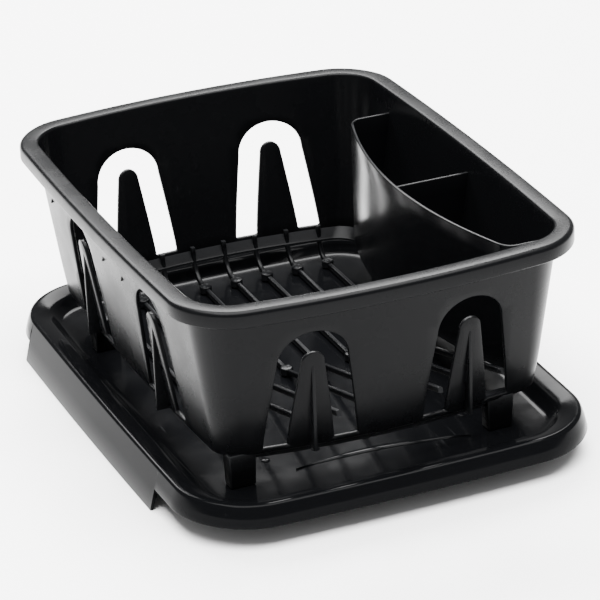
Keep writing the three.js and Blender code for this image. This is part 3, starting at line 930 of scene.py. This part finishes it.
# Each skirt starts and stops between two stations that are one short step apart.
skirt_step = 0.25 * mm
clear_of_step = 1 * mm
columns = [(s, False) for s in tray_stations]
for side, turned in ((0, 1), (2, -1)):
    middle = side_middle(tray_form, side)
    ends = sorted(turned * (y - tray_middle.y) for y in (rail_low.y, rail_high.y))
    low_end, high_end = middle + ends[0], middle + ends[1]
    kept = []
    for s, deep in columns:
        if low_end < s < high_end:
            deep = True
        if min(abs(s - low_end), abs(s - high_end)) > clear_of_step:
            kept.append((s, deep))
    kept += [(low_end - skirt_step, False), (low_end, True)]
    kept += [(high_end, True), (high_end + skirt_step, False)]
    columns = sorted(kept)
rings = []
for s, deep in columns:
    section = tray_section(rail_low.z if deep else lip_foot_z)
    rings.append([edge_point(tray_form, s, inset, z) for inset, z in section])
tray = bmesh.new()
add_rings(tray, rings + rings[:1], closed=False)
bmesh.ops.remove_doubles(tray, verts=tray.verts, dist=1e-7)
bmesh.ops.holes_fill(tray, edges=[e for e in tray.edges if e.is_boundary], sides=0)
tray_body = finish_mesh("tray_body", tray, "tray", tray_plastic, angle=35, join=1e-7)
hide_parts("tray_floor", "tray_rim", "tray_rail_left", "tray_rail_right")

# ---- tray studs ----
# A row of low round studs moulded across the front of the pan, raised less than a millimetre.
stud_count = 5
stud_pitch = 28 * mm
stud_setback = 60 * mm
stud_section = [
    (2.6 * mm, -0.3 * mm), (2.5 * mm, 0.2 * mm), (2.1 * mm, 0.6 * mm), (1.2 * mm, 0.8 * mm),
]
stud_y = tray_middle.y - tray_form["half_y"] + stud_setback
for number in range(stud_count):
    stud = bmesh.new()
    stud_x = tray_middle.x + (number - (stud_count - 1) / 2) * stud_pitch
    turn_post(stud, Vector((stud_x, stud_y, tray_floor)), stud_section, 24)
    piece = finish_mesh(f"stud_{number + 1}", stud, "tray", tray_plastic)

# ---- tray crescent ----
# A thin crescent raised a little from the pan's floor near the front, moulded in one with the tray.
crescent_left = Vector((tray_middle.x - 46 * mm, tray_middle.y - 106 * mm))
crescent_right = Vector((tray_middle.x + 50 * mm, tray_middle.y - 113 * mm))
crescent_bulge = (17 * mm, 7 * mm)
crescent_height = 0.9 * mm


def crescent_ring(shrink, height):
    """The crescent's outline at a height: a flatter front arc out and a rounder back arc home."""
    arcs = []
    for bulge in crescent_bulge:
        knee = (crescent_left + crescent_right) / 2 + Vector((0, bulge))
        arc = []
        for i in range(41):
            share = i / 40
            flat = crescent_left * (1 - share) ** 2 + knee * 2 * share * (1 - share)
            flat += crescent_right * share ** 2
            arc.append(flat)
        arcs.append(arc)
    back, front = [], []
    for upper, lower in zip(*arcs):
        middle = (upper + lower) / 2
        half = max((upper.y - lower.y) / 2 - shrink, 0.1 * mm)
        back.append(Vector((middle.x, middle.y + half, tray_floor + height)))
        front.append(Vector((middle.x, middle.y - half, tray_floor + height)))
    return front + back[::-1]


crescent = bmesh.new()
made = add_rings(crescent, [
    crescent_ring(0, -0.4 * mm), crescent_ring(0, 0.1 * mm),
    crescent_ring(0.5 * mm, 0.6 * mm), crescent_ring(1.3 * mm, crescent_height),
])
side_count = len(made[0])
for ring, order in ((made[0], 1), (made[-1], -1)):
    for i in range(side_count // 2 - 1):
        j = side_count - 1 - i
        crescent.faces.new([ring[i], ring[i + 1], ring[j - 1], ring[j]][::order])
piece = finish_mesh("tray_crescent", crescent, "tray", tray_plastic)

# ---- floor and light ----
# A white table under a pale grey sky, a wide soft light overhead and a weaker one high behind.
table = bmesh.new()
bmesh.ops.create_grid(table, x_segments=1, y_segments=1, size=6)
table_data = bpy.data.meshes.new("table")
table.to_mesh(table_data)
table.free()
table_material = bpy.data.materials.new("table_white")
table_material.use_nodes = True
table_shader = table_material.node_tree.nodes["Principled BSDF"]
table_shader.inputs["Base Color"].default_value = (0.93, 0.93, 0.93, 1)
table_shader.inputs["Roughness"].default_value = 0.7
table_data.materials.append(table_material)
table_top = bpy.data.objects.new("table", table_data)
table_top.location.z = cad_low.z - 0.1 * mm
bpy.context.scene.collection.objects.link(table_top)

world = bpy.data.worlds.new("white_sky")
world.use_nodes = True
world.node_tree.nodes["Background"].inputs["Color"].default_value = (1, 1, 1, 1)
world.node_tree.nodes["Background"].inputs["Strength"].default_value = 0.6
bpy.context.scene.world = world


def soft_light(name, place, aim, width, height, power):
    data = bpy.data.lights.new(name, "AREA")
    data.shape = "RECTANGLE"
    data.size, data.size_y = width, height
    data.energy = power
    light = bpy.data.objects.new(name, data)
    light.location = place
    light.rotation_mode = "QUATERNION"
    light.rotation_quaternion = (Vector(aim) - Vector(place)).to_track_quat("-Z", "Y")
    bpy.context.scene.collection.objects.link(light)


soft_light("top_softbox", (0, -0.2, 2.2), (0, 0, 0), 2.4, 2.0, 340)
soft_light("back_softbox", (0.2, 1.7, 1.65), (0, 0, 0.05), 2.2, 0.9, 210)
